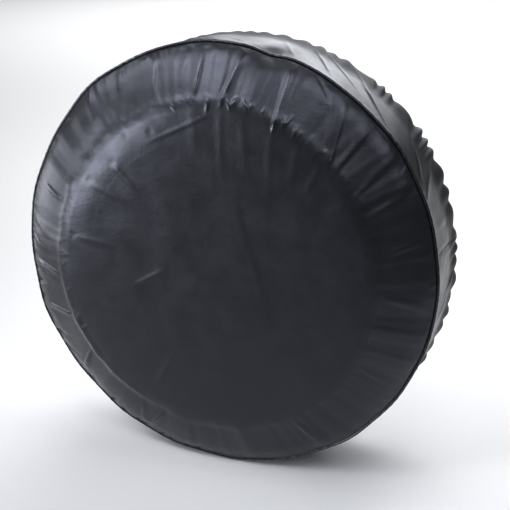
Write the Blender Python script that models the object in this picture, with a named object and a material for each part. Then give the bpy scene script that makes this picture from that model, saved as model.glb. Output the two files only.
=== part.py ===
"""Spare tire cover: a sewn vinyl cover for a trailer or caravan spare, in the shape that it takes on its tire.

Frame: origin at the centre of the tire, +Y out of the open back, +Z up, the closed front face at -Y.
Every panel is a thin strip of vinyl drawn as a path in (y, r), r being the distance from the Y axis,
thickened to the vinyl's thickness and spun about Y.
"""

import math

import bmesh
import bpy
from mathutils import Matrix, Vector

# Driving dimensions, in metres
VINYL = 0.0006  # one layer of coated fabric
GAP = 0.0003  # air between two pieces that touch
PITCH = VINYL + GAP  # from one layer to the next in a stack
TREAD_RADIUS = 0.3642  # outer face of the tread band
FRONT_Y = -0.1140  # outer face of the flat middle of the front
PIPING_Y = -0.0575  # plane of the front seam
FLAT_RADIUS = 0.2620  # where the front leaves its flat middle
CORD_RADIUS = 0.0016  # filler cord of the piping
ALLOWANCE = 0.0120  # width of the seam allowances
SHOULDER_Y = 0.0660  # where the band starts to turn over the rear shoulder
BACK_Y = 0.1165  # middle of the vinyl where it lies on the rear sidewall
HEM_RADIUS = 0.2520  # circle of the elastic in the hem
ELASTIC_RADIUS = 0.0025
CASING_RADIUS = 0.0045  # middle of the vinyl that is rolled round the elastic
HEM_TURN = 0.0220  # how far the hem's turned edge reaches back out
THREAD_RADIUS = 0.00035
SEGMENTS = 48  # facets in a full turn
JOIN_DEG = 7.5  # the two tread strips are joined here and on the opposite side
FULL_TURN = 2 * math.pi

# Layers under the front edge of the band, from the outside in: middle of each vinyl layer
BAND_R = TREAD_RADIUS - VINYL / 2
BAND_TURN_R = BAND_R - PITCH
OUTER_TAIL_R = BAND_TURN_R - PITCH
INNER_TAIL_R = OUTER_TAIL_R - PITCH
FACE_TAIL_R = INNER_TAIL_R - PITCH
TAIL_END_Y = PIPING_Y + ALLOWANCE
PIPING_R = TREAD_RADIUS + 0.0020

VINYL_COLOR = (0.018, 0.018, 0.021)
THREAD_COLOR = (0.012, 0.012, 0.013)
ELASTIC_COLOR = (0.05, 0.05, 0.055)
CORD_COLOR = (0.62, 0.60, 0.55)
STEEL_COLOR = (0.56, 0.57, 0.58)


def clear_scene():
    for obj in list(bpy.data.objects):
        bpy.data.objects.remove(obj, do_unlink=True)


def material(name, color, roughness, metallic=0.0):
    made = bpy.data.materials.new(name)
    made.use_nodes = True
    shader = made.node_tree.nodes["Principled BSDF"]
    shader.inputs["Base Color"].default_value = (*color, 1.0)
    shader.inputs["Roughness"].default_value = roughness
    shader.inputs["Metallic"].default_value = metallic
    return made


def arc(centre, radius, start_deg, end_deg, steps):
    """Points of an arc in (y, r). 0 degrees points along +y and 90 along +r."""
    angles = [math.radians(start_deg + (end_deg - start_deg) * i / steps) for i in range(steps + 1)]
    return [Vector((centre[0] + radius * math.cos(a), centre[1] + radius * math.sin(a))) for a in angles]


def thickened(path, thickness=VINYL):
    """The closed outline of a strip whose middle follows the path: one side, then back along the other."""
    points = [Vector(p) for p in path]
    sides = ([], [])
    for i, point in enumerate(points):
        before = (point - points[i - 1]).normalized() if i else None
        after = (points[i + 1] - point).normalized() if i + 1 < len(points) else None
        first, second = before or after, after or before
        normal = (Vector((-first.y, first.x)) + Vector((-second.y, second.x))).normalized()
        reach = thickness / 2 / normal.dot(Vector((-first.y, first.x)))
        sides[0].append(point + normal * reach)
        sides[1].append(point - normal * reach)
    return sides[0] + sides[1][::-1]


def placed(name, bm, made_of):
    bmesh.ops.recalc_face_normals(bm, faces=bm.faces)
    mesh = bpy.data.meshes.new(name)
    bm.to_mesh(mesh)
    bm.free()
    mesh.materials.append(made_of)
    mesh.shade_smooth()
    mesh.set_sharp_from_angle(angle=math.radians(40))
    obj = bpy.data.objects.new(name, mesh)
    bpy.context.scene.collection.objects.link(obj)
    return obj


def radial(y, r, angle):
    """A point at height y along the axis and distance r from it. Angle 0 is +X and 90 degrees is +Z."""
    return Vector((r * math.cos(angle), y, r * math.sin(angle)))


def spun_ring(outline, closed=True):
    """A full ring from an outline in (y, r). An open outline leaves two round holes, which are filled flat."""
    bm = bmesh.new()
    verts = [bm.verts.new(radial(p[0], p[1], 0.0)) for p in outline]
    pairs = list(zip(verts, verts[1:]))
    if closed:
        pairs.append((verts[-1], verts[0]))
    edges = [bm.edges.new(pair) for pair in pairs]
    bmesh.ops.spin(
        bm, geom=verts + edges, axis=(0, -1, 0), cent=(0, 0, 0), angle=FULL_TURN, steps=SEGMENTS, use_merge=True
    )
    if not closed:
        bmesh.ops.holes_fill(bm, edges=bm.edges, sides=0)
    return bm


def spun_strip(outline, start, sweep, steps):
    """Part of a turn, closed at both ends by the outline itself."""
    bm = bmesh.new()
    face = bm.faces.new([bm.verts.new(radial(p[0], p[1], start)) for p in outline])
    bmesh.ops.spin(
        bm,
        geom=[*face.verts, *face.edges, face],
        axis=(0, -1, 0),
        cent=(0, 0, 0),
        angle=sweep,
        steps=steps,
        use_duplicate=False,
    )
    return bm


def helper(name, bm):
    """An object that only serves a Boolean: drawn as wire and left out of renders."""
    mesh = bpy.data.meshes.new(name)
    bm.to_mesh(mesh)
    bm.free()
    obj = bpy.data.objects.new(name, mesh)
    bpy.context.scene.collection.objects.link(obj)
    obj.hide_render = True
    obj.display_type = "WIRE"
    return obj


def box(name, size, matrix):
    bm = bmesh.new()
    bmesh.ops.create_cube(bm, size=1.0, matrix=matrix @ Matrix.Diagonal((*size, 1.0)))
    return helper(name, bm)


def boolean(obj, other, operation):
    step = obj.modifiers.new(operation.title(), "BOOLEAN")
    step.operation = operation
    step.solver = "EXACT"
    step.object = other


def frame_at(y, r, angle):
    """Axes at a point of the cover: local X along the turn, local Y along the axis, local Z outward."""
    outward = Vector((math.cos(angle), 0, math.sin(angle)))
    along = Vector((-math.sin(angle), 0, math.cos(angle)))
    axis = outward.cross(along)
    basis = Matrix((along, axis, outward)).transposed().to_4x4()
    return Matrix.Translation(radial(y, r, angle)) @ basis


def face_path():
    """From the flat middle over the front sidewall, down beside the piping, then back as the seam allowance."""
    crest_bend, crest_turn = 0.050, 28
    shoulder_bend, shoulder_turn = 0.106, 46.4
    middle_y = FRONT_Y + VINYL / 2
    crest = arc((middle_y + crest_bend, FLAT_RADIUS), crest_bend, 180, 180 - crest_turn, 3)
    slope = Vector((math.sin(math.radians(crest_turn)), math.cos(math.radians(crest_turn))))
    start = crest[-1] + slope * 0.0580
    bend_centre = start + Vector((slope.y, -slope.x)) * shoulder_bend
    shoulder = arc(bend_centre, shoulder_bend, 180 - crest_turn, 180 - shoulder_turn, 4)
    beside = PIPING_Y - 1.5 * PITCH
    seam = [
        (beside, BAND_R - 0.0011),
        (beside, FACE_TAIL_R),
        (TAIL_END_Y, FACE_TAIL_R),
    ]
    return crest + shoulder + [Vector(p) for p in seam]


def build_face(vinyl):
    """One round panel. Its path starts at the edge of the flat middle, which is filled on both faces."""
    return placed("face_panel", spun_ring(thickened(face_path()), closed=False), vinyl)


def build_piping(vinyl, cord):
    """A bias strip folded round a filler cord, with both tails lying back under the band."""
    neck = PITCH / 2
    wrap_radius = CORD_RADIUS + GAP + VINYL / 2
    open_deg = math.degrees(math.asin(neck / wrap_radius))
    loop = arc((PIPING_Y, PIPING_R), wrap_radius, 270 - open_deg, -90 + open_deg, 8)
    path = [
        (TAIL_END_Y, INNER_TAIL_R),
        (PIPING_Y - neck, INNER_TAIL_R),
        *loop,
        (PIPING_Y + neck, OUTER_TAIL_R),
        (TAIL_END_Y, OUTER_TAIL_R),
    ]
    placed("piping_wrap", spun_ring(thickened(path)), vinyl)
    core = placed("piping_cord", spun_ring(arc((PIPING_Y, PIPING_R), CORD_RADIUS, 0, 315, 7)), cord)
    cut_ends_apart(core, PIPING_Y, PIPING_R, CORD_RADIUS)


def cut_ends_apart(ring, y, r, radius):
    """Opens a ring at the bottom, where the two ends of a cord meet."""
    gap_frame = frame_at(y, r, math.radians(270) + math.pi / SEGMENTS)
    cutter = box(ring.name + "_end_gap", (0.0005, 4 * radius, 4 * radius), gap_frame)
    boolean(ring, cutter, "DIFFERENCE")


def band_path():
    """From the turned front edge along the tread, over the rear shoulder to the sidewall, and round the elastic."""
    shoulder_bend, shoulder_turn = 0.045, 50
    back_bend = 0.030
    front = PIPING_Y + 0.0022
    turned_edge = [(TAIL_END_Y, BAND_TURN_R), (front, BAND_TURN_R), (front, BAND_R)]
    shoulder = arc((SHOULDER_Y, BAND_R - shoulder_bend), shoulder_bend, 90, 90 - shoulder_turn, 4)
    turn = math.radians(shoulder_turn)
    back_start_y = BACK_Y - back_bend * (1 - math.sin(turn))
    run = (back_start_y - shoulder[-1].x) / math.cos(turn)
    back_start_r = shoulder[-1].y - run * math.sin(turn)
    back = arc((BACK_Y - back_bend, back_start_r - back_bend * math.cos(turn)), back_bend, 90 - shoulder_turn, 0, 2)
    casing = arc((BACK_Y - CASING_RADIUS, HEM_RADIUS), CASING_RADIUS, 0, -210, 6)
    turned_hem = [
        (BACK_Y - PITCH, HEM_RADIUS + 0.0090),
        (BACK_Y - PITCH, HEM_RADIUS + HEM_TURN),
    ]
    return [*turned_edge, *shoulder, *back, *casing, *turned_hem]


def build_band(vinyl):
    """Two strips, sewn end to end. Each end is folded under, so that the seam lies open inside the cover."""
    outline = thickened(band_path())
    half_gap = GAP / 2 / TREAD_RADIUS
    for name, first_deg in (("tread_strip_upper", JOIN_DEG), ("tread_strip_lower", JOIN_DEG + 180)):
        start = math.radians(first_deg) + half_gap
        sweep = math.pi - 2 * half_gap
        strip = placed(name, spun_strip(outline, start, sweep, SEGMENTS // 2), vinyl)
        facet = sweep / (SEGMENTS // 2)
        for label, edge, into in (("start", start, 1), ("end", start + sweep, -1)):
            boolean(strip, folded_end(f"{name}_{label}", edge + into * facet / 2, into, facet), "UNION")


def folded_end(name, middle, into, facet):
    """The end of a strip folded under: a web at the end and a flap below the strip, inside one facet."""
    low_y, high_y = TAIL_END_Y + 0.0020, SHOULDER_Y - 0.0010
    edge = -BAND_R * math.sin(facet / 2) + 0.00005
    flap_top, flap_low = VINYL / 2 - PITCH, -VINYL / 2 - PITCH
    section = [
        (edge, -0.1 * VINYL),
        (edge + VINYL, -0.1 * VINYL),
        (edge + VINYL, flap_top),
        (edge + ALLOWANCE, flap_top),
        (edge + ALLOWANCE, flap_low),
        (edge, flap_low),
    ]
    half = (high_y - low_y) / 2
    bm = bmesh.new()
    near = [bm.verts.new((into * x, -half, z)) for x, z in section]
    far = [bm.verts.new((into * x, half, z)) for x, z in section]
    bm.faces.new(near)
    bm.faces.new(far)
    for i in range(len(section)):
        bm.faces.new((near[i - 1], near[i], far[i], far[i - 1]))
    bmesh.ops.recalc_face_normals(bm, faces=bm.faces)
    bmesh.ops.transform(
        bm, matrix=frame_at((low_y + high_y) / 2, BAND_R * math.cos(facet / 2), middle), verts=bm.verts
    )
    return helper(name, bm)


def build_elastic(elastic, steel):
    """A loop of shock cord in the hem, its two ends crimped together in a steel sleeve at the bottom."""
    y = BACK_Y - CASING_RADIUS
    cord = placed("hem_elastic", spun_ring(arc((y, HEM_RADIUS), ELASTIC_RADIUS, 0, 315, 7)), elastic)
    cut_ends_apart(cord, y, HEM_RADIUS, ELASTIC_RADIUS)
    inner, outer, half_length = ELASTIC_RADIUS + GAP, 0.0037, 0.0050
    bm = bmesh.new()
    section = [(inner, -half_length), (outer, -half_length), (outer, half_length), (inner, half_length)]
    verts = [bm.verts.new((x, 0, r)) for r, x in section]
    edges = [bm.edges.new((verts[i], verts[(i + 1) % 4])) for i in range(4)]
    bmesh.ops.spin(
        bm, geom=verts + edges, axis=(1, 0, 0), cent=(0, 0, 0), angle=FULL_TURN, steps=16, use_merge=True
    )
    sleeve = placed("elastic_crimp_sleeve", bm, steel)
    half_facet = math.pi / SEGMENTS
    sleeve.matrix_world = frame_at(y, HEM_RADIUS * math.cos(half_facet), math.radians(270) + half_facet)


def build_threads(thread):
    """Stitch lines: one thread ring for each side of a seam that is open to view, and one along each join."""
    clear = VINYL / 2 + GAP + THREAD_RADIUS
    stitch_r = HEM_RADIUS + 0.0140
    rings = (
        ("front_seam_thread", PIPING_Y + ALLOWANCE / 2, FACE_TAIL_R - clear),
        ("hem_needle_thread", BACK_Y + clear, stitch_r),
        ("hem_bobbin_thread", BACK_Y - PITCH - clear, stitch_r),
    )
    for name, y, r in rings:
        placed(name, spun_ring(arc((y, r), THREAD_RADIUS, 45, 315, 3)), thread)
    low_y, high_y = TAIL_END_Y + 0.0030, SHOULDER_Y - 0.0020
    for name, degrees in (("join_thread_right", JOIN_DEG), ("join_thread_left", JOIN_DEG + 180)):
        bm = bmesh.new()
        bmesh.ops.create_cone(
            bm, cap_ends=True, segments=6, radius1=THREAD_RADIUS, radius2=THREAD_RADIUS, depth=high_y - low_y
        )
        row = placed(name, bm, thread)
        under_flaps = BAND_TURN_R - VINYL - GAP - THREAD_RADIUS
        at = frame_at((low_y + high_y) / 2, under_flaps, math.radians(degrees))
        row.matrix_world = at @ Matrix.Rotation(math.radians(90), 4, "X")


def main():
    clear_scene()
    vinyl = material("vinyl", VINYL_COLOR, 0.42)
    thread = material("thread", THREAD_COLOR, 0.75)
    elastic = material("elastic", ELASTIC_COLOR, 0.85)
    cord = material("filler_cord", CORD_COLOR, 0.9)
    steel = material("zinc_plated_steel", STEEL_COLOR, 0.35, 1.0)
    build_face(vinyl)
    build_piping(vinyl, cord)
    build_band(vinyl)
    build_elastic(elastic, steel)
    build_threads(thread)


main()
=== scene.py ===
"""Looks of the spare tire cover: fine vinyl panels, piping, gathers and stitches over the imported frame."""

import math

import bmesh
import bpy
import numpy as np
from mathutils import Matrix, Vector


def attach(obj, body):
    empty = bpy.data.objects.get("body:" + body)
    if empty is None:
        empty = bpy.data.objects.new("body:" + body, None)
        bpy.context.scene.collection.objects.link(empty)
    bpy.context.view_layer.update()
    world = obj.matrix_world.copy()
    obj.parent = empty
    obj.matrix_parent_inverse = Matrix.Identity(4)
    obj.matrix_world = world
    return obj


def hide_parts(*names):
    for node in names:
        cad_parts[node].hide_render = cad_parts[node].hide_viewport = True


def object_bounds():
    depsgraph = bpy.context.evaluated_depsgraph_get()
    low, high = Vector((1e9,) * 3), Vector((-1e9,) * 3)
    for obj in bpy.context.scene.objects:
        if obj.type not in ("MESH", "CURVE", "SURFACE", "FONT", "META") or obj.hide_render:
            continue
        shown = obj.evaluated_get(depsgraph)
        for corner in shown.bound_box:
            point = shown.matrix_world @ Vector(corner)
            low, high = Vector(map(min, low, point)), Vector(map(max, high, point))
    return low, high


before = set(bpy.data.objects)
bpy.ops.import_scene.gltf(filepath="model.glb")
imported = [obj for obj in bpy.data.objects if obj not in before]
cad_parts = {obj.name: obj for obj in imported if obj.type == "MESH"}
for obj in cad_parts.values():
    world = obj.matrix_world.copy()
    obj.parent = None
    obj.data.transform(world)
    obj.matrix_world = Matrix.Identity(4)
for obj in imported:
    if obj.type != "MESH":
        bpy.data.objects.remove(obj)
CAD_LOW, CAD_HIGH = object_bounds()

# The cover's dimensions, in metres, as in the frame
VINYL = 0.0006
GAP = 0.0003
PITCH = VINYL + GAP
TREAD_RADIUS = 0.3642
FRONT_Y = -0.1140
PIPING_Y = -0.0575
FLAT_RADIUS = 0.2620
CORD_RADIUS = 0.0016
ALLOWANCE = 0.0120
SHOULDER_Y = 0.0660
BACK_Y = 0.1165
HEM_RADIUS = 0.2520
CASING_RADIUS = 0.0045
HEM_TURN = 0.0220
JOIN_DEG = 7.5
BAND_R = TREAD_RADIUS - VINYL / 2
BAND_TURN_R = BAND_R - PITCH
OUTER_TAIL_R = BAND_TURN_R - PITCH
INNER_TAIL_R = OUTER_TAIL_R - PITCH
FACE_TAIL_R = INNER_TAIL_R - PITCH
TAIL_END_Y = PIPING_Y + ALLOWANCE
PIPING_R = TREAD_RADIUS + 0.0020
PIPING_WRAP = CORD_RADIUS + GAP + VINYL / 2
BAND_FRONT_Y = PIPING_Y + 0.0022
CASING_Y = BACK_Y - CASING_RADIUS
HEM_STITCH_R = HEM_RADIUS + 0.0140
GATHERS = 76
SHIRRS = 150
FACE_SIDE = 270
TURN = 2 * math.pi
OUTWARD = np.array([1, 0, 1])


# ---------------------------------------------------------------- small helpers


def smooth(low, high, x):
    t = np.clip((np.asarray(x, float) - low) / (high - low), 0.0, 1.0)
    return t * t * (3 - 2 * t)


def bump(x, centre, width):
    return np.exp(-(((x - centre) / width) ** 2))


def wrapped(angle):
    return (angle + math.pi) % TURN - math.pi


def arc(centre, radius, start_deg, end_deg, steps):
    a = np.radians(np.linspace(start_deg, end_deg, steps + 1))
    return np.stack([centre[0] + radius * np.cos(a), centre[1] + radius * np.sin(a)], 1)


def line(start, end, steps):
    t = np.linspace(0, 1, steps + 1)[:, None]
    return np.asarray(start, float) * (1 - t) + np.asarray(end, float) * t


def joined(*parts):
    path = np.concatenate([np.atleast_2d(np.asarray(p, float)) for p in parts])
    step = np.linalg.norm(np.diff(path, axis=0), axis=1)
    return path[np.concatenate([[True], step > 1e-6])]


def along(path):
    return np.concatenate([[0], np.cumsum(np.linalg.norm(np.diff(path, axis=0), axis=1))])


def tangents(path):
    step = np.gradient(path, axis=0)
    return step / np.linalg.norm(step, axis=1, keepdims=True)


def round_points(y, r, phi):
    """Points at depth y and radius r, at the angle phi round the cover."""
    return np.stack([r * np.cos(phi), y, r * np.sin(phi)], -1)


def ring_angles(count):
    return TURN * np.arange(count) / count


def seam_uv(phi, s):
    """Texture places in metres: round the cover, and along the profile."""
    return np.stack(np.broadcast_arrays((phi * BAND_R)[None, :], s[:, None]), -1)


def waves(phi, low, high, count, seed):
    """Smooth noise round the cover: random whole numbers of waves per turn, about -1 to 1."""
    rng = np.random.default_rng(seed)
    n = rng.integers(low, high + 1, count)
    total = sum(np.sin(k * phi + p) for k, p in zip(n, rng.uniform(0, TURN, count)))
    return total / math.sqrt(count)


def field(points, scale, count, seed):
    """Smooth noise in space, about -1 to 1, from plane waves of about the given length in metres."""
    rng = np.random.default_rng(seed)
    total = np.zeros(points.shape[:-1])
    for _ in range(count):
        direction = rng.normal(size=3)
        direction *= TURN / scale * rng.uniform(0.6, 1.5) / np.linalg.norm(direction)
        total += np.sin(points @ direction + rng.uniform(0, TURN))
    return total / math.sqrt(count)


# ---------------------------------------------------------------- the line of the front seam


def seam_shift(phi):
    """How far the front seam strays from its circle, outward and towards the back."""
    deg = np.degrees(phi) % 360
    out = -0.0062 * bump(deg, 77, 4.2) + 0.0016 * bump(deg, 97, 7)
    out += -0.0018 * bump(deg, 57, 5) - 0.0028 * bump(deg, 150, 13) + 0.0030 * bump(deg, 200, 9)
    out += -0.0022 * bump(deg, 267, 9) + 0.0008 * waves(phi, 7, 23, 8, 3)
    back = 0.0012 * waves(phi, 5, 17, 8, 4) + 0.0024 * bump(deg, 77, 5)
    return out, back


def shifted(y, r, phi):
    out, back = seam_shift(phi)
    weight = np.exp(-(((y - PIPING_Y) ** 2 + (r - PIPING_R) ** 2) / 0.032**2))
    return y + weight * back, r + weight * out


# ---------------------------------------------------------------- wrinkles


def creases(phi, v, r, made):
    """Adds up creases that run in from a seam. phi goes round, v is the distance from the seam."""
    total = np.zeros((len(v), len(phi)))
    for c in made:
        t = (v - c["from"]) / (c["to"] - c["from"])
        rows = np.nonzero((t > -0.15) & (t < 1.15))[0]
        if not len(rows):
            continue
        tt = t[rows]
        centre = c["at"] + c["lean"] * tt + c["bend"] * tt * (1 - tt)
        size = c["height"] * smooth(-0.12, c["rise"], tt) * (1 - smooth(1 - c["fade"], 1.12, tt))
        wide = c["width"] * (1 + c["flare"] * tt)
        d = wrapped(phi[None, :] - centre[:, None]) * r[rows][:, None]
        skew = np.where(d > 0, 1 + c["skew"], 1 - c["skew"])
        total[rows] += size[:, None] * np.exp(-((d / (wide[:, None] * skew)) ** 2))
    return total


def crease(at_deg, start, end, height, width, lean_deg, bend_deg, skew, rise, fade, flare):
    return {
        "at": math.radians(at_deg),
        "from": start,
        "to": end,
        "height": height,
        "width": width,
        "lean": math.radians(lean_deg),
        "bend": math.radians(bend_deg),
        "skew": skew,
        "rise": rise,
        "fade": fade,
        "flare": flare,
    }


def seam_puckers(count, longest, tallest, strength, seed):
    """Short puckers that start at the seam, where the easing of the round panel is taken up."""
    rng = np.random.default_rng(seed)
    made = []
    for i in range(count):
        at = 360 * (i + rng.uniform(-0.45, 0.45)) / count
        power = strength(at)
        reach = 0.007 + (longest - 0.007) * rng.beta(1.3, 3.0) * power
        height = tallest * (0.25 + 0.75 * rng.beta(1.5, 2.5)) * power * rng.choice((1.0, 1.0, -1.0))
        wide, lean, bend = rng.uniform(0.0022, 0.0048), rng.normal(0, 0.9), rng.normal(0, 0.5)
        skew = rng.uniform(-0.35, 0.35)
        made.append(crease(at, 0.0, reach, height, wide, lean, bend, skew, 0.05, 0.75, 0.7))
    return made


def part_of_turn(at, centre, half):
    return math.exp(-((((at - centre + 180) % 360 - 180) / half) ** 2))


# ---------------------------------------------------------------- meshes


def grid_normals(points, closed):
    down = np.gradient(points, axis=0)
    if closed:
        across = np.roll(points, -1, 1) - np.roll(points, 1, 1)
    else:
        across = np.gradient(points, axis=1)
    normal = np.cross(across, down)
    return normal / np.maximum(np.linalg.norm(normal, axis=2, keepdims=True), 1e-12)


def grid_faces(rows, cols, closed, first, flip):
    i, j = np.meshgrid(np.arange(rows - 1), np.arange(cols if closed else cols - 1), indexing="ij")
    k = (j + 1) % cols
    quads = np.stack([i * cols + j, i * cols + k, (i + 1) * cols + k, (i + 1) * cols + j], -1).reshape(-1, 4)
    return first + (quads[:, ::-1] if flip else quads)


def make_mesh(name, verts, faces, uv=None, slots=None, attributes=None):
    mesh = bpy.data.meshes.new(name)
    mesh.from_pydata(np.asarray(verts).tolist(), [], [list(map(int, f)) for f in faces])
    mesh.shade_smooth()
    if uv is not None:
        loops = np.empty(len(mesh.loops), np.int32)
        mesh.loops.foreach_get("vertex_index", loops)
        layer = mesh.uv_layers.new(name="Metres")
        layer.data.foreach_set("uv", np.asarray(uv)[loops].astype(np.float32).ravel())
    if slots is not None:
        mesh.polygons.foreach_set("material_index", np.asarray(slots, np.int32))
    for label, values in (attributes or {}).items():
        made = mesh.attributes.new(label, "FLOAT", "POINT")
        made.data.foreach_set("value", np.asarray(values, np.float32))
    mesh.update()
    obj = bpy.data.objects.new(name, mesh)
    bpy.context.scene.collection.objects.link(obj)
    return obj


class Cloth:
    """A sheet with two faces and closed edges, from one or more grids of points on its middle."""

    def __init__(self):
        self.verts, self.faces, self.uv, self.slots, self.crest = [], [], [], [], []
        self.count = 0

    def add(self, verts, uv, crest):
        first = self.count
        self.verts.append(verts.reshape(-1, 3))
        self.uv.append(uv.reshape(-1, 2))
        self.crest.append(crest.reshape(-1))
        self.count += self.verts[-1].shape[0]
        return first

    def face(self, faces, slot):
        self.faces.extend(faces.tolist())
        self.slots.extend([slot] * len(faces))

    def grid(self, points, normals, uv, crest, closed, rims=(True, True), thickness=VINYL):
        rows, cols = points.shape[:2]
        outer = self.add(points + normals * thickness / 2, uv, crest)
        inner = self.add(points - normals * thickness / 2, uv, crest)
        self.face(grid_faces(rows, cols, closed, outer, False), 0)
        self.face(grid_faces(rows, cols, closed, inner, True), 1)
        for row, wanted, flip in ((0, rims[0], True), (rows - 1, rims[1], False)):
            if wanted:
                self.edge_strip(outer + row * cols, inner + row * cols, 1, cols, closed, flip)
        if not closed:
            self.edge_strip(outer, inner, cols, rows, False, False)
            self.edge_strip(outer + cols - 1, inner + cols - 1, cols, rows, False, True)
        return outer, inner

    def edge_strip(self, a, b, stride, count, closed, flip):
        j = np.arange(count if closed else count - 1)
        k = (j + 1) % count
        quads = np.stack([a + j * stride, a + k * stride, b + k * stride, b + j * stride], -1)
        self.face(quads[:, ::-1] if not flip else quads, 0)

    def build(self, name):
        obj = make_mesh(
            name, np.concatenate(self.verts), self.faces, np.concatenate(self.uv), self.slots,
            {"crest": np.concatenate(self.crest)},
        )
        face_outward(obj)
        return obj


def face_outward(obj):
    bm = bmesh.new()
    bm.from_mesh(obj.data)
    bmesh.ops.recalc_face_normals(bm, faces=bm.faces)
    bm.to_mesh(obj.data)
    bm.free()


def relief(height, reach):
    """How far each point stands above its neighbours, from -1 in a hollow to 1 on a crest."""
    blurred = height
    for _ in range(reach):
        blurred = (blurred + np.roll(blurred, 1, 1) + np.roll(blurred, -1, 1)) / 3
    return np.clip((height - blurred) / 0.0008, -1, 1)


# ---------------------------------------------------------------- the round front panel


def face_profile():
    crest_bend, crest_turn = 0.050, 28
    shoulder_bend, shoulder_turn = 0.106, 46.4
    middle = FRONT_Y + VINYL / 2
    crest = arc((middle + crest_bend, FLAT_RADIUS), crest_bend, 180, 180 - crest_turn, 9)
    slope = np.array([math.sin(math.radians(crest_turn)), math.cos(math.radians(crest_turn))])
    start = crest[-1] + slope * 0.0580
    centre = start + np.array([slope[1], -slope[0]]) * shoulder_bend
    shoulder = arc(centre, shoulder_bend, 180 - crest_turn, 180 - shoulder_turn, 16)
    beside = PIPING_Y - 1.5 * PITCH
    return joined(
        line((middle, 0.2200), (middle, FLAT_RADIUS), 16),
        crest,
        line(crest[-1], start, 36),
        shoulder,
        line(shoulder[-1], (beside, BAND_R - 0.0011), 2),
        line((beside, BAND_R - 0.0011), (beside, FACE_TAIL_R), 3),
        line((beside, FACE_TAIL_R), (TAIL_END_Y, FACE_TAIL_R), 6),
    )


FACE_PATH = face_profile()
FACE_S = along(FACE_PATH)
FACE_SEAM_PLACE = (PIPING_Y - 0.0026, BAND_R - 0.0002)
FACE_SEAM = int(np.argmin(np.hypot(*(FACE_PATH - FACE_SEAM_PLACE).T)))
CREST_RADIUS = 0.281
CREST_V = float(FACE_S[FACE_SEAM] - np.interp(CREST_RADIUS, FACE_PATH[:FACE_SEAM, 1], FACE_S[:FACE_SEAM]))


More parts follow.
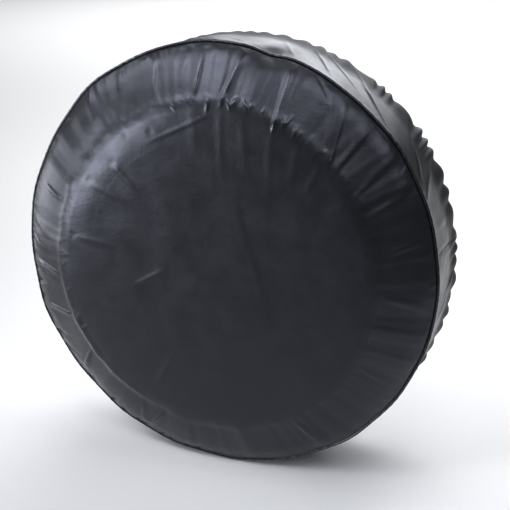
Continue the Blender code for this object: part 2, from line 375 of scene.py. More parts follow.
def face_creases():
    """Drag folds across the sloping ring, puckers at its two edges."""

    def pucker_strength(deg):
        return 0.5 + 0.5 * part_of_turn(deg, 120, 45) + 1.0 * part_of_turn(deg, 212, 34)

    made = seam_puckers(150, 0.055, 0.0012, pucker_strength, 11)
    # the folds that show most: degrees from the right, turning upward, then start and end from the seam,
    # height, width, lean, bend, skew, rise, fade, flare
    made += [
        crease(82.0, 0.000, 0.098, 0.0026, 0.0085, 4.2, 1.2, 0.25, 0.40, 0.12, -0.48),
        crease(83.6, 0.018, 0.096, -0.0012, 0.0060, 3.6, 1.0, 0.0, 0.50, 0.15, -0.40),
        crease(94.0, 0.000, 0.088, 0.0019, 0.0085, 1.8, 0.0, 0.2, 0.60, 0.15, -0.55),
        crease(98.5, 0.000, 0.080, 0.0010, 0.0080, 2.6, 0.0, 0.2, 0.60, 0.30, -0.50),
        crease(70.0, 0.000, 0.104, 0.0027, 0.0078, -3.2, 0.8, -0.25, 0.25, 0.12, -0.42),
        crease(72.0, 0.020, 0.098, -0.0011, 0.0060, -3.6, 0.6, 0.0, 0.50, 0.20, -0.40),
        crease(63.0, 0.004, 0.030, -0.0009, 0.0045, -7.0, 0.0, 0.2, 0.25, 0.60, 0.1),
        crease(54.5, 0.000, 0.104, 0.0015, 0.0095, -10.5, 3.5, 0.3, 0.40, 0.18, -0.50),
        crease(56.5, 0.010, 0.100, -0.0008, 0.0060, -9.0, 3.0, 0.0, 0.40, 0.25, -0.30),
        crease(45.5, 0.000, 0.098, 0.0020, 0.0095, -3.6, 1.0, 0.3, 0.40, 0.18, -0.50),
        crease(36.0, 0.000, 0.090, 0.0017, 0.0090, -4.0, 1.0, 0.3, 0.60, 0.20, -0.50),
        crease(27.0, 0.000, 0.086, 0.0015, 0.0090, -3.0, 0.0, 0.3, 0.60, 0.20, -0.50),
        crease(14.0, 0.000, 0.080, 0.0013, 0.0090, -3.0, 0.0, 0.3, 0.60, 0.25, -0.50),
        crease(-6.0, 0.000, 0.080, 0.0012, 0.0100, 3.0, 0.0, 0.3, 0.60, 0.25, -0.50),
        crease(-31.0, 0.000, 0.085, 0.0015, 0.0090, 3.0, 1.0, 0.3, 0.60, 0.20, -0.50),
        crease(-58.0, 0.000, 0.085, 0.0014, 0.0090, -2.0, 1.0, 0.3, 0.60, 0.20, -0.50),
        crease(108.0, 0.000, 0.078, 0.0010, 0.0080, 2.4, 0.0, 0.3, 0.55, 0.30, -0.45),
        crease(119.0, 0.000, 0.060, 0.0009, 0.0070, 3.0, 0.0, 0.3, 0.50, 0.40, -0.40),
        crease(131.0, 0.000, 0.070, 0.0009, 0.0080, 3.0, 0.0, 0.3, 0.50, 0.40, -0.40),
        crease(161.5, 0.030, 0.088, 0.0016, 0.0050, 1.0, 0.0, 0.3, 0.40, 0.40, -0.20),
        crease(172.0, 0.000, 0.066, 0.0012, 0.0075, 5.0, 0.0, 0.3, 0.50, 0.40, -0.40),
        crease(187.0, 0.000, 0.070, 0.0011, 0.0080, 5.0, 0.0, 0.3, 0.50, 0.40, -0.40),
        crease(246.0, 0.000, 0.080, 0.0013, 0.0080, -3.0, 0.0, 0.3, 0.50, 0.30, -0.40),
        crease(259.0, 0.000, 0.075, 0.0012, 0.0080, 2.0, 0.0, 0.3, 0.50, 0.30, -0.40),
    ]
    rng = np.random.default_rng(5)
    # the slack side, where the seam allowance nips the cloth beside the piping
    for i in range(22):
        at = 176 + 4.1 * (i + rng.uniform(-0.3, 0.3))
        reach, deep = rng.uniform(0.016, 0.040), rng.uniform(-0.0034, -0.0016)
        wide, lean, skew = rng.uniform(0.0035, 0.0060), rng.normal(2.0, 1.5), rng.uniform(-0.4, 0.4)
        made.append(crease(at, 0.0, reach, deep, wide, lean, 0.0, skew, 0.05, 0.8, -0.2))
    for at, lean in ((186, 3.0), (199, 5.0), (221.5, -4.0), (247, 4.0)):
        made.append(crease(at, 0.020, 0.086, 0.0030, 0.0050, lean, 0.0, 0.4, 0.4, 0.4, -0.2))
    # short ticks across the bend at the edge of the flat middle
    for i in range(120):
        at = 360 * (i + rng.uniform(-0.45, 0.45)) / 120
        power = 0.14 + 1.2 * part_of_turn(at, 76, 27) + 0.3 * part_of_turn(at, 205, 40)
        half = rng.uniform(0.006, 0.015)
        middle = CREST_V + rng.uniform(-0.008, 0.007)
        height = rng.uniform(0.4, 1.0) * 0.0015 * power
        wide, lean, skew = rng.uniform(0.0020, 0.0042), rng.normal(-0.8, 1.2), rng.uniform(-0.4, 0.5)
        made.append(crease(at, middle - half, middle + half, height, wide, lean, 0.0, skew, 0.5, 0.5, 0.0))
    return made


def face_height(phi, rows_v, rows_r):
    """Height of the creases, the billowing and the ridge over the sloping ring."""
    height = creases(phi, rows_v, rows_r, face_creases())
    ring = smooth(0.0, 0.012, rows_v) * (1 - smooth(CREST_V - 0.012, CREST_V + 0.012, rows_v))
    billow = 0.0007 * waves(phi, 9, 22, 9, 21) + 0.00042 * waves(phi, 28, 60, 11, 22)
    billow = billow + 0.00014 * waves(phi, 70, 150, 16, 24)
    height += ring[:, None] * billow[None, :]
    deg = np.degrees(phi) % 360
    ridge = 0.0002 + 0.0032 * bump(deg, 212, 24)
    ridge = ridge * (1 + 0.25 * waves(phi, 12, 40, 8, 23))
    height += bump(rows_v, CREST_V - 0.003, 0.0075)[:, None] * ridge[None, :]
    eased = 0.0044 * bump(deg, 138, 34) + 0.0022 * bump(deg, 250, 30) + 0.0012
    height -= bump(rows_v, CREST_V, 0.030)[:, None] * eased[None, :]
    height *= smooth(-0.0005, 0.0040, rows_v)[:, None]
    return height


# Folding creases of the flat middle: from x, z to x, z, then depth and width
DISC_CREASES = (
    (0.005, 0.262, -0.110, 0.205, 0.0008, 0.0030),
    (0.018, 0.275, 0.020, 0.150, 0.0004, 0.0070),
    (0.055, 0.270, 0.062, 0.160, 0.0004, 0.0080),
    (0.105, 0.255, 0.100, 0.150, 0.0004, 0.0070),
    (0.150, 0.235, 0.135, 0.150, 0.0004, 0.0070),
    (0.190, 0.205, 0.160, 0.140, 0.0005, 0.0060),
    (-0.030, 0.278, -0.026, 0.190, 0.0003, 0.0080),
    (0.235, 0.140, 0.190, 0.110, 0.0004, 0.0070),
    (0.255, 0.080, 0.200, 0.060, 0.0004, 0.0070),
    (-0.080, -0.008, -0.145, -0.048, 0.0007, 0.0050),
    (-0.176, 0.165, -0.130, 0.120, 0.0008, 0.0060),
    (-0.215, 0.125, -0.150, 0.100, 0.0007, 0.0060),
    (0.040, 0.120, 0.100, -0.060, 0.0004, 0.0080),
    (-0.250, 0.030, -0.170, 0.020, 0.0006, 0.0060),
    (-0.105, -0.230, -0.070, -0.160, 0.0006, 0.0060),
)

# Small dimples beside the edge of the flat middle: degrees from the right, turning upward, and radius
DISC_DIMPLES = ((136.5, 0.240), (149, 0.256), (173, 0.255), (125, 0.262), (246, 0.249), (115, 0.247))


def disc_height(points):
    """Slack in the flat middle, over about a hand's width, with its folding creases and dimples."""
    height = 0.0007 * field(points, 0.24, 12, 31) + 0.00018 * field(points, 0.07, 14, 32)
    x, z = points[..., 0], points[..., 2]
    for x0, z0, x1, z1, deep, wide in DISC_CREASES:
        dx, dz = x1 - x0, z1 - z0
        size = math.hypot(dx, dz)
        t = ((x - x0) * dx + (z - z0) * dz) / size**2
        d = ((x - x0) * dz - (z - z0) * dx) / size
        height += deep * np.exp(-((d / wide) ** 2)) * smooth(-0.1, 0.3, t) * (1 - smooth(0.6, 1.1, t))
    for deg, radius in DISC_DIMPLES:
        away = np.hypot(x - radius * math.cos(math.radians(deg)), z - radius * math.sin(math.radians(deg)))
        height += 0.0003 * np.exp(-((away / 0.016) ** 2)) - 0.0006 * np.exp(-((away / 0.0065) ** 2))
    return height


def build_face():
    cols = 4 * FACE_SIDE
    phi = -math.pi / 4 + TURN * np.arange(cols) / cols
    v = FACE_S[FACE_SEAM] - FACE_S
    y = np.repeat(FACE_PATH[:, :1], cols, 1)
    r = np.repeat(FACE_PATH[:, 1:], cols, 1)
    tangent = tangents(FACE_PATH)
    height = face_height(phi, v, FACE_PATH[:, 1])
    height += disc_height(round_points(y, r, phi)) * smooth(0.002, 0.050, v)[:, None]
    y, r = shifted(y - tangent[:, 1:] * height, r + tangent[:, :1] * height, phi[None, :])
    ring = round_points(y, r, phi)
    normals = -grid_normals(ring, True)
    if normals[0, 0, 1] > 0:
        normals = -normals
    cloth = Cloth()
    uv = np.stack([ring[..., 0], ring[..., 2]], -1)
    outer, inner = cloth.grid(ring, normals, uv, relief(height, 12), True, rims=(False, True))
    add_disc(cloth, outer, inner)
    return cloth.build("face_vinyl")


def disc_grid():
    """The flat middle: a square grid drawn out to a disc, whose edge points are those of the sloping ring."""
    a = np.linspace(-1, 1, FACE_SIDE + 1)
    u, w = np.meshgrid(a, a, indexing="xy")
    sideways = np.abs(u) >= np.abs(w)
    big = np.where(sideways, u, w)
    safe = np.where(np.abs(big) < 1e-9, 1, big)
    angle = np.where(sideways, math.pi / 4 * (w / safe), math.pi / 2 - math.pi / 4 * (u / safe))
    edge_r = FACE_PATH[0, 1]
    dx, dz = big * edge_r * np.cos(angle), big * edge_r * np.sin(angle)
    flat = np.stack([dx, np.full_like(dx, FACE_PATH[0, 0]), dz], -1)
    flat[..., 1] -= disc_height(flat)
    return flat


def disc_tilt(flat):
    """The front normals of the flat middle, from its slopes."""
    steepest = 0.3
    slope_x = np.gradient(flat[..., 1], axis=1) / np.maximum(np.gradient(flat[..., 0], axis=1), 1e-5)
    slope_z = np.gradient(flat[..., 1], axis=0) / np.maximum(np.gradient(flat[..., 2], axis=0), 1e-5)
    tilt = np.stack([slope_x, -np.ones_like(slope_x), slope_z], -1)
    tilt = np.where(np.abs(tilt) > steepest, np.sign(tilt) * steepest, tilt)
    tilt[..., 1] = -1
    return tilt / np.linalg.norm(tilt, axis=2, keepdims=True)


def add_disc(cloth, outer, inner):
    """Adds the flat middle. Its edge points are the ring's first row, so it is made without them."""
    flat = disc_grid()
    index = -np.ones(flat.shape[:2], int)
    for j, (row, col) in enumerate(edge_order(FACE_SIDE)):
        index[row, col] = j
    body = index < 0
    points, lean = flat[body], disc_tilt(flat)[body]
    uv = np.stack([points[:, 0], points[:, 2]], -1)
    for first, offset, slot in ((outer, 0.5, 0), (inner, -0.5, 1)):
        start = cloth.add(points + lean * VINYL * offset, uv, np.zeros(len(points)))
        table = index + first
        table[body] = start + np.arange(body.sum())
        quads = np.stack([table[:-1, :-1], table[:-1, 1:], table[1:, 1:], table[1:, :-1]], -1).reshape(-1, 4)
        cloth.face(quads if slot == 0 else quads[:, ::-1], slot)


def edge_order(side):
    """Grid places along the square's edge in the order of the ring's columns, from -45 degrees upward."""
    places = [(k, side) for k in range(side)]
    places += [(side, side - k) for k in range(side)]
    places += [(side - k, 0) for k in range(side)]
    places += [(0, k) for k in range(side)]
    return places


# ---------------------------------------------------------------- the tread band and its gathers


def band_profile():
    shoulder_bend, shoulder_turn = 0.045, 50
    back_bend = 0.030
    shoulder = arc((SHOULDER_Y, BAND_R - shoulder_bend), shoulder_bend, 90, 90 - shoulder_turn, 12)
    turn = math.radians(shoulder_turn)
    back_start_y = BACK_Y - back_bend * (1 - math.sin(turn))
    run = (back_start_y - shoulder[-1][0]) / math.cos(turn)
    back_start_r = shoulder[-1][1] - run * math.sin(turn)
    back_centre = (BACK_Y - back_bend, back_start_r - back_bend * math.cos(turn))
    back = arc(back_centre, back_bend, 90 - shoulder_turn, 0, 8)
    casing = arc((CASING_Y, HEM_RADIUS), CASING_RADIUS, 0, -210, 14)
    turned = (BACK_Y - PITCH, HEM_RADIUS + 0.0090)
    return joined(
        line((TAIL_END_Y, BAND_TURN_R), (BAND_FRONT_Y, BAND_TURN_R), 4),
        line((BAND_FRONT_Y, BAND_TURN_R), (BAND_FRONT_Y, BAND_R), 1),
        line((BAND_FRONT_Y, BAND_R), (SHOULDER_Y, BAND_R), 36),
        shoulder,
        line(shoulder[-1], back[0], 18),
        back,
        line(back[-1], casing[0], 14),
        casing,
        line(casing[-1], turned, 4),
        line(turned, (BACK_Y - PITCH, HEM_RADIUS + HEM_TURN), 6),
    )


BAND_PATH = band_profile()
BAND_S = along(BAND_PATH)
BAND_FRONT = int(np.argmin(np.hypot(BAND_PATH[:, 0] - BAND_FRONT_Y, BAND_PATH[:, 1] - BAND_R)))
OFF_CASING = np.hypot(BAND_PATH[:, 0] - CASING_Y, BAND_PATH[:, 1] - HEM_RADIUS) - CASING_RADIUS
CASING_ROWS = np.nonzero((np.abs(OFF_CASING) < 1e-5) & (BAND_PATH[:, 1] < HEM_RADIUS + 0.0030))[0]
CASING_START, CASING_END = int(CASING_ROWS[0]), int(CASING_ROWS[-1])


def fold_profile(phi, count, seed, jitter):
    """Rounded folds side by side, each a little different. 0 in the hollows and about 1 on the crests."""
    phase = count * phi + jitter * waves(phi, 2, count // 3, 18, seed)
    tall = 0.72 + 0.28 * waves(phi, 3, count // 2, 14, seed + 1)
    wave = 0.5 + 0.5 * np.cos(phase)
    return np.clip(wave ** 0.85 * np.clip(tall, 0.25, 1.15), 0, 1.15)


def gathers(phi, y0, r0):
    """Height of the gathers over a point of the smooth band, and the finer shirring by the elastic."""
    surplus = np.sqrt(np.maximum(BAND_R / r0 - 1, 0))
    folds = fold_profile(phi - 0.35 * (y0 - 0.08), GATHERS, 41, 2.0)
    fine = fold_profile(phi, SHIRRS, 43, 1.6)
    spacing = TURN * r0 / GATHERS
    tall = 0.80 * surplus * spacing * 1.9 / math.pi
    tall = tall * smooth(0.2490, 0.2680, r0)
    drawn = 1 - 0.85 * bump(np.degrees(phi) % 360, 103, 30)
    tall = tall + 0.0060 * drawn * smooth(0.022, 0.078, y0) * smooth(0.3000, 0.3500, r0)
    tall = np.minimum(tall, 0.0105)
    shirr = 0.0026 * (1 - smooth(0.2620, 0.2900, r0))
    return tall, folds, shirr, fine


def band_creases():
    made = seam_puckers(130, 0.040, 0.0011, lambda a: 0.9, 51)
    rng = np.random.default_rng(52)
    for i in range(52):
        at = 360 * (i + rng.uniform(-0.4, 0.4)) / 52
        start = rng.uniform(0.0, 0.045)
        end = start + rng.uniform(0.045, 0.100)
        tall, wide, lean = rng.uniform(0.0005, 0.0018), rng.uniform(0.0035, 0.0090), rng.normal(9.0, 6.0)
        bend, skew = rng.normal(0, 2.0), rng.uniform(-0.5, 0.5)
        made.append(crease(at, start, end, tall, wide, lean, bend, skew, 0.4, 0.45, 0.0))
    return made


def join_groove(phi):
    """The valley over each of the two joins, with a low rise on both sides."""
    groove = 0.0
    for deg in (JOIN_DEG, JOIN_DEG + 180):
        d = wrapped(phi - math.radians(deg)) * BAND_R
        valley = 0.0011 * np.exp(-((d / 0.0035) ** 2))
        rise = 0.0005 * np.exp(-(((np.abs(d) - 0.009) / 0.004) ** 2))
        groove = groove + valley - rise
    return groove


def tread_relief(phi, v, y0, r0):
    """Height of the creases, the slack and the joins over the tread."""
    stretch = creases(phi, v, r0, band_creases())
    slack = 0.0010 * waves(phi, 6, 20, 9, 55)[None, :] * bump(y0, 0.0, 0.045)[:, None]
    free = smooth(0.0, 0.006, v) * (1 - smooth(0.150, 0.190, v))
    height = (stretch + slack) * free[:, None]
    height = np.where(y0[:, None] < TAIL_END_Y + 0.004, np.maximum(height, 0), height)
    by_join = np.exp(-((wrapped(phi - math.radians(JOIN_DEG)) * BAND_R / 0.012) ** 2))
    height = height * (1 - 0.7 * by_join)[None, :]
    inward = smooth(TAIL_END_Y + 0.002, TAIL_END_Y + 0.010, y0) * (1 - smooth(0.075, 0.095, y0))
    return height - join_groove(phi)[None, :] * inward[:, None] * 0.6


def band_point_grid(phi, rows=slice(None)):
    """Points of the band at the path's rows, and the height of the relief there."""
    v = (BAND_S - BAND_S[BAND_FRONT])[rows]
    tangent = tangents(BAND_PATH)[rows]
    out_y, out_r = -tangent[:, 1], tangent[:, 0]
    y0, r0 = BAND_PATH[rows, 0], BAND_PATH[rows, 1]
    number = np.arange(len(BAND_PATH))[rows]
    on_casing = ((number >= CASING_START) & (number <= CASING_END))[:, None]
    before = (number < CASING_START)[:, None]
    after = (number > CASING_END)[:, None]
    tall, folds, shirr, fine = gathers(phi[None, :], y0[:, None], r0[:, None])
    plain = tread_relief(phi, v, y0, r0)
    gather = tall * folds + shirr * fine

    # the gathers stand outward on the shoulder, and backward on the back and the turned hem
    turning = smooth(0.060, 0.088, y0)
    push_y = np.where(before[:, 0], out_y * (1 - turning) + turning * np.maximum(out_y, 0.0), 1.0)
    push_r = np.where(before[:, 0], out_r, 0.0)
    size = np.hypot(push_y, push_r)
    push_y, push_r = push_y / size, push_r / size
    y = y0[:, None] + out_y[:, None] * plain * before
    r = r0[:, None] + out_r[:, None] * plain * before
    y = y + np.where(before | after, push_y[:, None] * gather, 0)
    r = r + np.where(before, push_r[:, None] * gather, 0)

    # round the elastic, the fine shirring goes all the way and the gathers fade out and in again
    blend = np.clip((number - CASING_START) / (CASING_END - CASING_START), 0, 1)
    loop = 0.0026 * fine * np.ones_like(y)
    large = tall * folds
    main = large * (1 - smooth(0.0, 0.5, blend))[:, None] + large * smooth(0.8, 1.0, blend)[:, None]
    y = y + np.where(on_casing, out_y[:, None] * loop + main, 0)
    r = r + np.where(on_casing, out_r[:, None] * loop, 0)
    y, r = shifted(y, r, phi[None, :])
    return round_points(y, r, phi), np.where(before, plain + gather, loop)


def build_strip(name, first_deg):
    half_gap = GAP / 2 / TREAD_RADIUS
    start = math.radians(first_deg) + half_gap
    cols = 720
    phi = start + (math.pi - 2 * half_gap) * np.arange(cols) / (cols - 1)
    points, height = band_point_grid(phi)
    normals = grid_normals(points, False)
    middle = len(BAND_PATH) // 3
    outward = points[middle, cols // 2] * OUTWARD
    if normals[middle, cols // 2] @ outward < 0:
        normals = -normals
    cloth = Cloth()
    cloth.grid(points, normals, seam_uv(phi, BAND_S), relief(height, 10), False)
    add_flap(cloth, phi[0], 1)
    add_flap(cloth, phi[-1], -1)
    return cloth.build(name)


def add_flap(cloth, edge, into):
    """The allowance at a strip's end, folded under the strip. It runs in from the edge's angle."""
    y, r = BAND_PATH[:, 0], BAND_PATH[:, 1]
    tread = np.nonzero((y > TAIL_END_Y + 0.003) & (y < SHOULDER_Y) & (r > BAND_R - 1e-6))[0]
    rows = slice(tread[0], tread[-1] + 1)
    reach = np.array([0.0002, 0.0003, 0.0006, 0.0012, 0.003, 0.006, 0.009, ALLOWANCE])
    depth = np.array([0.2, 0.7, 0.95, 1.0, 1.0, 1.02, 1.04, 1.05]) * PITCH
    phi = edge + into * reach / BAND_R
    grid, _ = band_point_grid(phi, rows)
    outward = grid * OUTWARD
    outward /= np.linalg.norm(outward, axis=2, keepdims=True)
    grid = grid - outward * depth[None, :, None]
    crest = np.zeros(grid.shape[:2])
    cloth.grid(grid, -outward, seam_uv(phi, BAND_S[rows]), crest, False, thickness=VINYL * 0.9)


# ---------------------------------------------------------------- piping, cord and stitches


def piping_profile():
    neck = PITCH / 2
    open_deg = math.degrees(math.asin(neck / PIPING_WRAP))
    return joined(
        line((TAIL_END_Y, INNER_TAIL_R), (PIPING_Y - neck, INNER_TAIL_R), 5),
        arc((PIPING_Y, PIPING_R), PIPING_WRAP, 270 - open_deg, -90 + open_deg, 20),
        line((PIPING_Y + neck, OUTER_TAIL_R), (TAIL_END_Y, OUTER_TAIL_R), 5),
    )


def build_piping():
    phi = ring_angles(1080)
    path = piping_profile()
    tangent = tangents(path)
    bead = np.hypot(path[:, 0] - PIPING_Y, path[:, 1] - PIPING_R) < PIPING_WRAP * 1.05
    lumps = 0.00016 * waves(phi, 60, 170, 16, 61) + 0.00008 * waves(phi, 170, 330, 12, 62)
    height = np.clip(lumps, -0.00012, 0.0004)[None, :] * bead[:, None]
    y, r = shifted(path[:, :1] - tangent[:, 1:] * height, path[:, 1:] + tangent[:, :1] * height, phi[None, :])
    points = round_points(y, r, phi)
    cloth = Cloth()
    cloth.grid(points, grid_normals(points, True), seam_uv(phi, along(path)), relief(height, 6), True)
    return cloth.build("piping_vinyl")


def build_cord():
    """The piping's filler cord: a closed tube along the seam."""
    sides = 10
    phi = ring_angles(720)
    y, r = shifted(np.full_like(phi, PIPING_Y), np.full_like(phi, PIPING_R), phi)
    centres = round_points(y, r, phi)
    n = len(centres)
    ahead = np.roll(centres, -1, 0) - np.roll(centres, 1, 0)
    ahead /= np.linalg.norm(ahead, axis=1, keepdims=True)
    side = np.cross(ahead, np.array([0.0, 1.0, 0.0]))
    side /= np.linalg.norm(side, axis=1, keepdims=True)
    other = np.cross(side, ahead)
    a = ring_angles(sides)
    circle = np.cos(a)[None, :, None] * side[:, None] + np.sin(a)[None, :, None] * other[:, None]
    rings = centres[:, None] + CORD_RADIUS * circle
    i, j = np.meshgrid(np.arange(n), np.arange(sides), indexing="ij")
    k, m = (i + 1) % n, (j + 1) % sides
    faces = np.stack([i * sides + j, i * sides + m, k * sides + m, k * sides + j], -1).reshape(-1, 4)
    uv = np.stack(np.broadcast_arrays(along(centres)[:, None], (CORD_RADIUS * a)[None, :]), -1).reshape(-1, 2)
    return make_mesh("piping_filler", rings.reshape(-1, 3), faces, uv)


def stitches(name, centre, ahead, up, length, radius=0.00036):
    """Single stitches: short arched threads whose ends dive into the vinyl."""
    rings, sides = 7, 6
    t = np.linspace(-1, 1, rings)
    a = ring_angles(sides)
    ahead = ahead / np.linalg.norm(ahead, axis=1, keepdims=True)
    up = up - ahead * np.sum(up * ahead, 1, keepdims=True)
    up /= np.linalg.norm(up, axis=1, keepdims=True)
    side = np.cross(ahead, up)
    thick = radius * np.array([0.55, 0.9, 1.0, 1.0, 1.0, 0.9, 0.55])
    rise = 0.0004 * (1 - np.abs(t) ** 3) - 0.00025
    spine = centre[:, None] + ahead[:, None] * (t * length / 2)[None, :, None]
    spine = spine + up[:, None] * rise[None, :, None]
    across = np.cos(a)[None, None, :, None] * side[:, None, None]
    circle = across + np.sin(a)[None, None, :, None] * up[:, None, None]
    verts = spine[:, :, None] + thick[None, :, None, None] * circle

    body = []
    for i in range(rings - 1):
        for j in range(sides):
            k = (j + 1) % sides
            body.append([i * sides + j, i * sides + k, (i + 1) * sides + k, (i + 1) * sides + j])
    caps = [list(range(sides))[::-1], [(rings - 1) * sides + j for j in range(sides)]]
    count, per = len(centre), rings * sides
    faces = [[k * per + x for x in f] for k in range(count) for f in body + caps]
    uv = np.zeros((count * per, 2))
    uv[:, 0] = np.tile(np.repeat(t * length / 2, sides), count)
    uv[:, 1] = np.tile(np.tile(a * radius, rings), count)
    return make_mesh(name, verts.reshape(-1, 3), faces, uv)


def round_stitches(name, row_points, normals, pitch, length):
    """Stitches at an even pitch along a closed line of points."""
    loop_points = np.vstack([row_points, row_points[:1]])
    loop_normals = np.vstack([normals, normals[:1]])
    s = along(loop_points)
    count = int(s[-1] / pitch)
    at = (np.arange(count) + 0.5) * s[-1] / count

    def sampled(places, values):
        return np.stack([np.interp(places, s, values[:, k]) for k in range(3)], -1)

    ahead = sampled(at + 0.0008, loop_points) - sampled(at - 0.0008, loop_points)
    return stitches(name, sampled(at, loop_points), ahead, sampled(at, loop_normals), length)


def build_hem_stitches():
    phi = ring_angles(2880)
    number = np.arange(len(BAND_PATH))
    off_row = np.abs(BAND_PATH[:, 1] - HEM_STITCH_R)
    outer_row = int(np.argmin(np.where(number < CASING_START, off_row, np.inf)))
    inner_row = int(np.argmin(np.where(number > CASING_END, off_row, np.inf)))
    made = []
    for name, row, sign in (("hem_needle_stitches", outer_row, 1), ("hem_bobbin_stitches", inner_row, -1)):
        points, _ = band_point_grid(phi, slice(row - 1, row + 2))
        normals = grid_normals(points, True)[1]
        normals *= np.sign(normals[:, 1:2]) * sign
        made.append(round_stitches(name, points[1] + normals * VINYL * 0.55, normals, 0.0052, 0.0040))
    return made


def build_front_stitches():
    phi = ring_angles(1440)
    y = np.full_like(phi, PIPING_Y + ALLOWANCE / 2)
    y, r = shifted(y, np.full_like(phi, FACE_TAIL_R - VINYL * 0.55), phi)
    points = round_points(y, r, phi)
    return round_stitches("front_seam_stitches", points, -points * OUTWARD, 0.0050, 0.0038)


def build_join_stitches(name, deg):
    y = np.arange(TAIL_END_Y + 0.005, SHOULDER_Y - 0.003, 0.0050)
    phi = np.full_like(y, math.radians(deg))
    y, r = shifted(y, np.full_like(y, BAND_TURN_R - VINYL * 1.5), phi)
    points = round_points(y, r, phi)
    ahead = np.tile(np.array([0.0, 1.0, 0.0]), (len(y), 1))
    return stitches(name, points, ahead, -points * OUTWARD, 0.0038)


# ---------------------------------------------------------------- materials


def new_material(name):
    made = bpy.data.materials.new(name)
    made.use_nodes = True
    tree = made.node_tree
    return made, tree.nodes, tree.links, tree.nodes["Principled BSDF"]


def node(nodes, kind, **values):
    made = nodes.new(kind)
    for key, value in values.items():
        if key in made.inputs:
            made.inputs[key].default_value = value
        else:
            setattr(made, key, value)
    return made


def ramp(nodes, links, source, low, high, to_low, to_high):
    made = node(nodes, "ShaderNodeMapRange")
    for name, value in (("From Min", low), ("From Max", high), ("To Min", to_low), ("To Max", to_high)):
        made.inputs[name].default_value = value
    links.new(source, made.inputs["Value"])
    return made.outputs["Result"]


def texture(nodes, links, kind, place, **values):
    made = node(nodes, kind, **values)
    links.new(place, made.inputs["Vector"])
    return made


def combined(nodes, links, first, second, operation="ADD"):
    made = node(nodes, "ShaderNodeMath", operation=operation)
    links.new(first, made.inputs[0])
    links.new(second, made.inputs[1])
    return made.outputs[0]


def color_between(nodes, links, shader, factor, first, second):
    mix = node(nodes, "ShaderNodeMix", data_type="RGBA")
    mix.inputs[6].default_value = (*first, 1)
    mix.inputs[7].default_value = (*second, 1)
    links.new(factor, mix.inputs[0])
    links.new(mix.outputs[2], shader.inputs["Base Color"])


def bumps(nodes, links, shader, *layers):
    """Bumps laid on each other. Each layer is its height, strength and distance in metres."""
    below = None
    for height, strength, distance in layers:
        made = node(nodes, "ShaderNodeBump", Strength=strength, Distance=distance)
        links.new(height, made.inputs["Height"])
        if below:
            links.new(below, made.inputs["Normal"])
        below = made.outputs["Normal"]
    links.new(below, shader.inputs["Normal"])


def object_place(nodes):
    return node(nodes, "ShaderNodeTexCoord").outputs["Object"]


def uv_place(nodes):
    return node(nodes, "ShaderNodeUVMap", uv_map="Metres").outputs["UV"]


def vinyl_material(name, base, other, rough, grain=1.0, gathered=False):
    """Coated cloth: a fine pebble grain, soft creasing, polished crests, duller hollows and gathers."""
    made, nodes, links, shader = new_material(name)
    place, uv = object_place(nodes), uv_place(nodes)
    cloud = texture(nodes, links, "ShaderNodeTexNoise", place, Scale=9.0, Detail=5.0, Roughness=0.6)
    tint = ramp(nodes, links, cloud.outputs["Fac"], 0.35, 0.65, 0.0, 1.0)
    color_between(nodes, links, shader, tint, base, other)

    smear = texture(nodes, links, "ShaderNodeTexNoise", place, Scale=26.0, Detail=4.0, Roughness=0.55)
    spread = ramp(nodes, links, smear.outputs["Fac"], 0.3, 0.7, rough - 0.05, rough + 0.06)
    crest = node(nodes, "ShaderNodeAttribute", attribute_name="crest").outputs["Fac"]
    total = combined(nodes, links, spread, ramp(nodes, links, crest, -1.0, 1.0, 0.05, -0.05))
    if gathered:
        across = node(nodes, "ShaderNodeSeparateXYZ")
        links.new(uv, across.inputs[0])
        dull = ramp(nodes, links, across.outputs["Y"], 0.090, 0.118, 0.0, 0.24)
        total = combined(nodes, links, total, dull)
    links.new(total, shader.inputs["Roughness"])
    shader.inputs["Specular Tint"].default_value = (0.80, 0.83, 1.0, 1)
    shader.inputs["Specular IOR Level"].default_value = 0.3 if gathered else 0.5

    pebble = texture(nodes, links, "ShaderNodeTexVoronoi", uv, Scale=850.0)
    fine = texture(nodes, links, "ShaderNodeTexNoise", uv, Scale=420.0, Detail=3.0)
    soft = texture(nodes, links, "ShaderNodeTexNoise", place, Scale=70.0, Detail=4.0, Roughness=0.6)
    stretched = texture(
        nodes, links, "ShaderNodeMapping", place, Scale=(22.0, 22.0, 120.0), Rotation=(0.0, 0.35, 0.0)
    ).outputs["Vector"]
    drawn = texture(nodes, links, "ShaderNodeTexNoise", stretched, Scale=1.0, Detail=5.0, Roughness=0.65)
    bumps(
        nodes, links, shader,
        (pebble.outputs["Distance"], 0.35 * grain, 0.00012),
        (fine.outputs["Fac"], 0.35 * grain, 0.00012),
        (soft.outputs["Fac"], 0.16, 0.0016),
        (drawn.outputs["Fac"], 0.20, 0.0011),
    )
    return made


def backing_material():
    """The inner face: a fine black knitted scrim, matte."""
    made, nodes, links, shader = new_material("scrim_backing")
    uv = uv_place(nodes)
    weaves = [
        texture(nodes, links, "ShaderNodeTexWave", uv, bands_direction=way, Scale=330.0, Distortion=0.4)
        for way in ("X", "Y")
    ]
    both = combined(nodes, links, weaves[0].outputs["Fac"], weaves[1].outputs["Fac"], "MAXIMUM")
    color_between(nodes, links, shader, both, (0.020, 0.020, 0.022), (0.060, 0.060, 0.064))
    bumps(nodes, links, shader, (both, 0.6, 0.00025))
    shader.inputs["Roughness"].default_value = 0.85
    shader.inputs["Sheen Weight"].default_value = 0.15
    return made


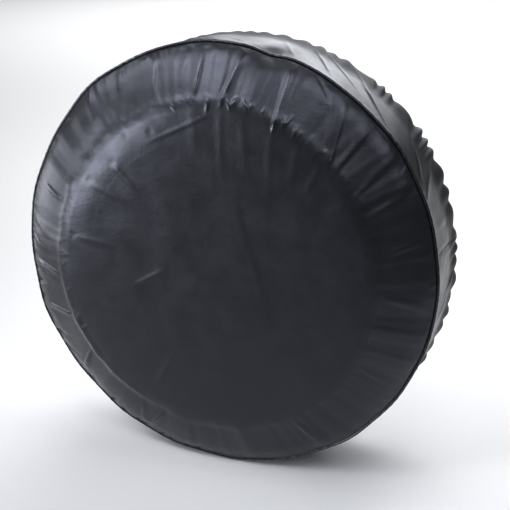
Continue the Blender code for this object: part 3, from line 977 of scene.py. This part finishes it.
def thread_material():
    """Twisted thread: a slanted rib along each stitch."""
    made, nodes, links, shader = new_material("bonded_thread")
    uv = uv_place(nodes)
    twist = texture(nodes, links, "ShaderNodeTexWave", uv, bands_direction="DIAGONAL", Scale=900.0)
    color_between(nodes, links, shader, twist.outputs["Fac"], (0.010, 0.010, 0.011), (0.035, 0.035, 0.038))
    bumps(nodes, links, shader, (twist.outputs["Fac"], 0.5, 0.0001))
    shader.inputs["Roughness"].default_value = 0.55
    return made


def braided_material(name, dark, light, scale):
    made, nodes, links, shader = new_material(name)
    cells = texture(nodes, links, "ShaderNodeTexVoronoi", object_place(nodes), Scale=scale)
    color_between(nodes, links, shader, cells.outputs["Distance"], light, dark)
    bumps(nodes, links, shader, (cells.outputs["Distance"], 0.7, 0.0004))
    shader.inputs["Roughness"].default_value = 0.8
    return made


def steel_material():
    made, nodes, links, shader = new_material("zinc_plate")
    spangle = texture(nodes, links, "ShaderNodeTexNoise", object_place(nodes), Scale=600.0, Detail=4.0)
    links.new(ramp(nodes, links, spangle.outputs["Fac"], 0.3, 0.7, 0.25, 0.5), shader.inputs["Roughness"])
    color_between(nodes, links, shader, spangle.outputs["Fac"], (0.50, 0.51, 0.53), (0.66, 0.66, 0.65))
    shader.inputs["Metallic"].default_value = 1.0
    return made


def dress(obj, *materials):
    obj.data.materials.clear()
    for made in materials:
        obj.data.materials.append(made)


# ---------------------------------------------------------------- the studio


def area_light(name, place, target, size, power, color=(0.93, 0.95, 1.0), spread=180):
    data = bpy.data.lights.new(name, "AREA")
    data.spread = math.radians(spread)
    data.shape = "RECTANGLE"
    data.size, data.size_y = size
    data.energy = power
    data.color = color
    obj = bpy.data.objects.new(name, data)
    obj.location = place
    obj.rotation_euler = (Vector(target) - Vector(place)).to_track_quat("-Z", "Y").to_euler()
    obj.visible_camera = False
    bpy.context.scene.collection.objects.link(obj)
    return obj


def plain_material(name, color, roughness):
    made, _, _, shader = new_material(name)
    shader.inputs["Base Color"].default_value = (*color, 1)
    shader.inputs["Roughness"].default_value = roughness
    shader.inputs["Specular IOR Level"].default_value = 0.2
    return made


def build_stage():
    """A wide pale floor."""
    z = CAD_LOW.z - 0.002
    floor = make_mesh("studio_floor", [(-9, -5, z), (9, -5, z), (9, 14, z), (-9, 14, z)], [(0, 1, 2, 3)])
    floor.data.materials.append(plain_material("pale_floor", (0.90, 0.90, 0.91), 0.7))


def build_lights():
    white = (1.0, 1.0, 1.0)
    floor_z = -0.37
    area_light("floor_softbox_back", (0, 1.5, 2.6), (0, 1.6, floor_z), (3.0, 1.6), 29, white, spread=90)
    area_light("backdrop_softbox", (0, 4.9, 3.4), (0, 5.0, floor_z), (7.0, 3.4), 150, white, spread=100)
    area_light("floor_softbox_middle", (0, 0.2, 2.8), (0, 0.2, floor_z), (2.0, 1.0), 2.6, white, spread=60)
    area_light("rear_softbox", (-0.15, 1.95, 1.0), (0, 0, 0.3), (2.0, 0.9), 3.2, spread=60)
    area_light("key_softbox_left", (-0.9, -1.4, 1.8), (0, 0, 0.25), (1.0, 0.8), 2.4, spread=50)
    area_light("key_softbox_right", (0.6, -1.5, 1.9), (0, 0, 0.25), (1.0, 0.8), 1.2, spread=50)
    area_light("right_softbox", (1.4, -1.5, 1.5), (0, 0, 0.2), (0.8, 0.8), 0.5, spread=50)
    area_light("left_softbox_high", (-1.7, -0.6, 1.3), (0, 0, 0.1), (1.3, 1.0), 1.7, spread=50)
    area_light("left_softbox_low", (-1.6, -1.55, 0.05), (0, 0, 0), (0.8, 0.75), 2.7, spread=50)
    area_light("left_softbox_side", (-1.7, -0.15, -0.05), (0, 0, 0), (1.0, 0.55), 0.9, spread=50)
    world = bpy.data.worlds.new("studio_air")
    world.use_nodes = True
    world.node_tree.nodes["Background"].inputs["Color"].default_value = (0.92, 0.95, 1.0, 1)
    world.node_tree.nodes["Background"].inputs["Strength"].default_value = 0.18
    bpy.context.scene.world = world


def build_camera():
    data = bpy.data.cameras.new("camera")
    azimuth, elevation, distance = math.radians(21.67), math.radians(18.32), 2.162
    aim = Vector((0, 0.0143, 0))
    level = math.cos(elevation)
    back = Vector((math.sin(azimuth) * level, -math.cos(azimuth) * level, math.sin(elevation)))
    camera = bpy.data.objects.new("camera", data)
    camera.location = aim + back * distance
    camera.rotation_euler = (-back).to_track_quat("-Z", "Y").to_euler()
    data.sensor_width = 36.0
    data.lens = 88.24
    data.shift_x = 0.0314
    data.shift_y = -0.0143
    data.clip_start, data.clip_end = 0.05, 50
    bpy.context.scene.collection.objects.link(camera)
    bpy.context.scene.camera = camera


# ---------------------------------------------------------------- putting it together


def main():
    blacks = (0.0050, 0.0050, 0.0057), (0.0075, 0.0075, 0.0086)
    vinyl = vinyl_material("glossy_vinyl", *blacks, 0.33)
    tread_vinyl = vinyl_material("tread_vinyl", *blacks, 0.33, gathered=True)
    piping_vinyl = vinyl_material("piping_gloss", (0.006, 0.006, 0.007), (0.009, 0.009, 0.010), 0.24, 0.6)
    backing = backing_material()
    thread = thread_material()

    face = build_face()
    upper = build_strip("tread_vinyl_upper", JOIN_DEG)
    lower = build_strip("tread_vinyl_lower", JOIN_DEG + 180)
    piping = build_piping()
    for obj, outside in ((face, vinyl), (upper, tread_vinyl), (lower, tread_vinyl)):
        dress(obj, outside, backing)
    dress(piping, piping_vinyl, backing)

    cord = build_cord()
    dress(cord, braided_material("filler_twist", (0.36, 0.34, 0.30), (0.66, 0.64, 0.58), 900.0))

    hem_needle, hem_bobbin = build_hem_stitches()
    front = build_front_stitches()
    right = build_join_stitches("join_stitches_right", JOIN_DEG)
    left = build_join_stitches("join_stitches_left", JOIN_DEG + 180)
    for obj in (hem_needle, hem_bobbin, front, right, left):
        dress(obj, thread)

    braid = braided_material("shock_cord", (0.02, 0.02, 0.022), (0.07, 0.07, 0.075), 700.0)
    dress(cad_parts["hem_elastic"], braid)
    dress(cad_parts["elastic_crimp_sleeve"], steel_material())

    for obj, nodes in (
        (face, ["face_panel"]),
        (upper, ["tread_strip_upper"]),
        (lower, ["tread_strip_lower"]),
        (piping, ["piping_wrap"]),
        (cord, ["piping_cord"]),
        (hem_needle, ["hem_needle_thread"]),
        (hem_bobbin, ["hem_bobbin_thread"]),
        (front, ["front_seam_thread"]),
        (right, ["join_thread_right"]),
        (left, ["join_thread_left"]),
    ):
        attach(obj, "root")
        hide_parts(*nodes)

    build_stage()
    build_lights()
    build_camera()
    bpy.context.scene.view_settings.view_transform = "Standard"


main()
